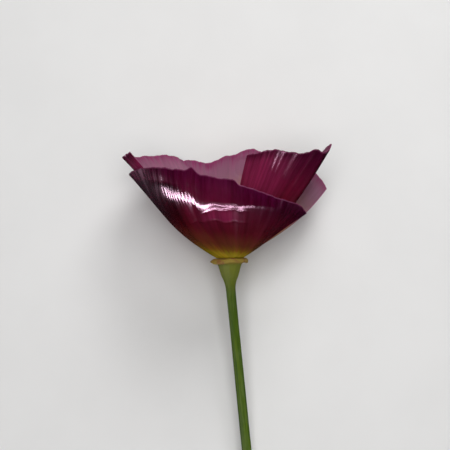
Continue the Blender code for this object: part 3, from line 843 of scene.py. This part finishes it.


# The outer colours from claw to rim. The last stop, lighter and purpler at the rim, is a painted glow of
# light shining through the thin rim.
OUTER_COLOURS = (
    (0.00, (0.480, 0.370, 0.008)),
    (0.13, (0.430, 0.310, 0.008)),
    (0.21, (0.260, 0.100, 0.012)),
    (0.31, (0.160, 0.034, 0.014)),
    (0.50, (0.108, 0.004, 0.010)),
    (0.72, (0.082, 0.001, 0.012)),
    (0.88, (0.048, 0.000, 0.011)),
    (1.00, (0.052, 0.001, 0.019)),
)
# The paler colour of the outer face: a painted glow of light shining through the thin petal.
OUTER_PAINTED_GLOW = (0.260, 0.020, 0.080, 1.0)
INNER_COLOURS = (
    (0.00, (0.460, 0.380, 0.020)),
    (0.20, (0.440, 0.300, 0.040)),
    (0.42, (0.480, 0.300, 0.130)),
    (0.68, (0.390, 0.200, 0.155)),
    (0.85, (0.262, 0.108, 0.168)),
    (0.94, (0.250, 0.080, 0.150)),
    (1.00, (0.220, 0.030, 0.100)),
)
# The paler colour of the inner face: a painted glow of light shining through the thin petal.
INNER_PAINTED_GLOW = (0.340, 0.178, 0.255, 1.0)
# The thin edge's painted glow of light shining through it.
EDGE_PAINTED_GLOW = (0.330, 0.090, 0.190, 1.0)
SHEEN_TINT = (1.0, 0.58, 0.82, 1.0)
PETAL_MAP = "across_and_along"

# A petal's painted glow of light shining through it comes in between the first two shares of the vein, and
# near the rim, between the next two, it falls to the next number's share of itself. Where the value is -1,
# as painted shade, the face is that last number times as bright.
PAINTED_GLOW_FROM = (0.35, 0.65)
PAINTED_GLOW_UNTIL = (0.90, 0.99)
RIM_PAINTED_GLOW = 0.3
PAINTED_SHADE = 0.45


def petal_finish(name, colours, pale, roughness, level, drawn_out, streak, relief):
    """A petal's face. The colours run from claw to rim, broken up by streaks along the veins. They blend
    into
    `pale` by the painted glow and sheen that the petal carries, and where that is below 0 they are darker,
    as painted shade. Every vein is a fine raised line. `streak` is how strongly the streaks show, and
    `relief` how high the veins are. The long cells of the skin draw its gloss out across the veins, by
    `drawn_out`, and `level` is how strong the gloss is. The thin edge is painted paler and pinker, a painted
    glow of light shining through it."""
    material, tree, shader = new_finish(name)
    place = grown_place(tree)
    parts = add_node(tree, "SeparateXYZ", {0: place}).outputs
    share = parts["Y"]
    broad = drawn_noise(tree, place, (7.0, 1.1, 0.0), detail=3.0)
    fine = drawn_noise(tree, place, (24.0, 1.2, 0.0), detail=5.0, roughness=0.7)
    shift = calculated(tree, "MULTIPLY", calculated(tree, "SUBTRACT", fine, 0.5), 0.35)
    colour = along_ramp(tree, calculated(tree, "ADD", share, shift), colours)
    # Painted glow and painted sheen blend the colour paler.
    paler = calculated(tree, "MULTIPLY", parts["Z"], ranged(tree, share, *PAINTED_GLOW_FROM))
    paler = calculated(tree, "MULTIPLY", paler, ranged(tree, share, *PAINTED_GLOW_UNTIL, 1.0, RIM_PAINTED_GLOW))
    colour = blended(tree, paler, colour, pale)
    dark = ranged(tree, fine, 0.30, 0.70, 1.0 - streak, 1.0 + streak)
    cloudy = ranged(tree, broad, 0.30, 0.70, 1.0 - 0.8 * streak, 1.0 + 0.8 * streak)
    shade = calculated(tree, "MULTIPLY", dark, cloudy)
    # Where the value is below 0, painted shade darkens the face.
    shade = calculated(tree, "MULTIPLY", shade, ranged(tree, parts["Z"], -1.0, 0.0, PAINTED_SHADE, 1.0))
    scaled = add_node(tree, "VectorMath", {0: colour, 3: shade}, operation="SCALE").outputs[0]
    # The thin edge is painted paler and pinker, a painted glow of light shining through it.
    outermost = calculated(tree, "MAXIMUM", calculated(tree, "ABSOLUTE", parts["X"], 0.0), share)
    edge = calculated(tree, "MULTIPLY", ranged(tree, outermost, 0.986, 0.998), 0.4)
    tree.links.new(blended(tree, edge, scaled, EDGE_PAINTED_GLOW), shader.inputs["Base Color"])
    rough = ranged(tree, fine, 0.3, 0.7, roughness - 0.04, roughness + 0.06)
    tree.links.new(rough, shader.inputs["Roughness"])
    shader.inputs["Specular IOR Level"].default_value = level
    shader.inputs["Specular Tint"].default_value = SHEEN_TINT
    shader.inputs["Anisotropic"].default_value = drawn_out
    across = add_node(tree, "Tangent", {}, direction_type="UV_MAP", uv_map=PETAL_MAP)
    tree.links.new(across.outputs["Tangent"], shader.inputs["Tangent"])
    shader.inputs["Subsurface Weight"].default_value = 0.25
    shader.inputs["Subsurface Radius"].default_value = (1.0, 0.35, 0.6)
    shader.inputs["Subsurface Scale"].default_value = 0.5 * MM
    hair = drawn_noise(tree, place, (110.0, 2.4, 0.0), detail=2.0)
    raised(tree, shader, hair, relief, 0.10 * MM)
    return material


petal_finishes = [
    petal_finish("petal_outside", OUTER_COLOURS, OUTER_PAINTED_GLOW, 0.20, 0.5, 0.85, 0.25, 0.4),
    petal_finish("petal_inside", INNER_COLOURS, INNER_PAINTED_GLOW, 0.55, 0.1, 0.3, 0.12, 0.4),
]


def add_petal(name, form, node, flat=False):
    """One petal, outside and inside each with its own finish, and a map across and along it."""
    vertices, faces, places = petal_mesh(*petal_sheets(form, flat))
    piece = add_piece(name, vertices, faces, places, petal_finishes, node)
    inside = np.arange(len(faces)) >= len(faces) // 2
    piece.data.polygons.foreach_set("material_index", inside.astype(np.int32))
    layout = piece.data.uv_layers.new(name=PETAL_MAP)
    layout.data.foreach_set("uv", places[np.array(faces).ravel(), :2].astype(np.float32).ravel())


add_petal("front_petal", FRONT_PETAL, "petal_front")
add_petal("right_petal", RIGHT_PETAL, "petal_right")
add_petal("left_petal", LEFT_PETAL, "petal_left")
add_petal("back_petal", BACK_PETAL, "petal_back", flat=True)


# Floor
# Not part of the flower: the plain pale surface that it lies on, of smooth matt board with faint clouds. It
# mirrors nothing, and the petals' gloss doesn't mirror it.

# Half its size in metres, how far below the flower it lies, its two colours and how fine its clouds are.
FLOOR_HALF = 1.5
FLOOR_DROP = 0.02 * MM
FLOOR_COLOUR = (0.73, 0.725, 0.72, 1.0)
FLOOR_PALER = (0.75, 0.745, 0.74, 1.0)
FLOOR_CLOUDS = (30.0, 30.0, 30.0)

floor_mesh = bpy.data.meshes.new("floor")
corners = ((-1, -1), (1, -1), (1, 1), (-1, 1))
floor_points = [(x * FLOOR_HALF, y * FLOOR_HALF, -FLOOR_DROP) for x, y in corners]
floor_mesh.from_pydata(floor_points, [], [(0, 1, 2, 3)])
floor_material, floor_tree, floor_shader = new_finish("floor")
floor_place = add_node(floor_tree, "TexCoord", {}).outputs["Object"]
floor_noise = drawn_noise(floor_tree, floor_place, FLOOR_CLOUDS)
floor_colour = blended(floor_tree, ranged(floor_tree, floor_noise, 0.3, 0.7), FLOOR_COLOUR, FLOOR_PALER)
floor_tree.links.new(floor_colour, floor_shader.inputs["Base Color"])
floor_shader.inputs["Roughness"].default_value = 0.9
floor_shader.inputs["Specular IOR Level"].default_value = 0.0
floor_mesh.materials.append(floor_material)
floor = bpy.data.objects.new("floor", floor_mesh)
bpy.context.scene.collection.objects.link(floor)
floor.visible_glossy = False


# Lights
# Two long narrow lights, beyond the stem and at the left, show only in the gloss and draw the bright band
# along the front petal's fold. A broad panel above gives light but no gloss, and a soft one beyond the
# petals lights their inner faces. The room round them is dim and even.

FLOWER_MIDDLE = (0.0, 0.0, 12.0)
ROOM_LIGHT = 0.10


def add_panel(name, start, end, width, power):
    """A white area light whose middle line runs from start to end, turned to the flower's middle. Places are
    in the flower's frame, in millimetres."""
    places = np.array((start, end, FLOWER_MIDDLE), dtype=float)
    first, last, aim = (Vector(place) for place in laid_down(places))
    lamp = bpy.data.lights.new(name, "AREA")
    lamp.shape = "RECTANGLE"
    lamp.size = (last - first).length
    lamp.size_y = width * MM
    lamp.energy = power
    light = bpy.data.objects.new(name, lamp)
    middle = (first + last) / 2
    along = (last - first).normalized()
    away = middle - aim
    away = (away - along * away.dot(along)).normalized()
    axes = np.array((along, away.cross(along), away)).T
    light.matrix_world = Matrix.Translation(middle) @ Matrix(axes.tolist()).to_4x4()
    light.visible_camera = False
    bpy.context.scene.collection.objects.link(light)
    return light


key = add_panel("key", (-181.0, -325.0, -219.0), (160.0, -295.0, -247.0), 12.0, 1.25)
left_key = add_panel("left_key", (-432.0, -50.0, -141.0), (-184.0, -309.0, -251.0), 84.0, 6.0)
above = add_panel("above", (-200.0, -600.0, 60.0), (200.0, -600.0, 60.0), 400.0, 2.5)
add_panel("beyond", (-5.0, -300.0, 450.0), (245.0, -300.0, 450.0), 250.0, 1.6)
key.visible_diffuse = False
left_key.visible_diffuse = False
above.visible_glossy = False

world = bpy.data.worlds.new("studio")
bpy.context.scene.world = world
world.use_nodes = True
room = world.node_tree.nodes["Background"]
room.inputs["Color"].default_value = (1.0, 1.0, 1.0, 1.0)
room.inputs["Strength"].default_value = ROOM_LIGHT
world.cycles_visibility.glossy = False
bpy.context.scene.view_settings.view_transform = "Standard"


# Camera
# It looks at the flower square to its axis, from the side that faces up, and so down on it as it lies.

CAMERA_PLACE = (-1.26, -450.0, 8.96)
LENS = 128.57

lens = bpy.data.cameras.new("camera")
lens.lens = LENS
lens.sensor_width = 36.0
lens.clip_start = 0.01
lens.clip_end = 10.0
camera = bpy.data.objects.new("camera", lens)
camera.location = laid_down(np.array([CAMERA_PLACE]))[0]
camera.rotation_euler = (LEAN, 0.0, 0.0)
bpy.context.scene.collection.objects.link(camera)
bpy.context.scene.camera = camera
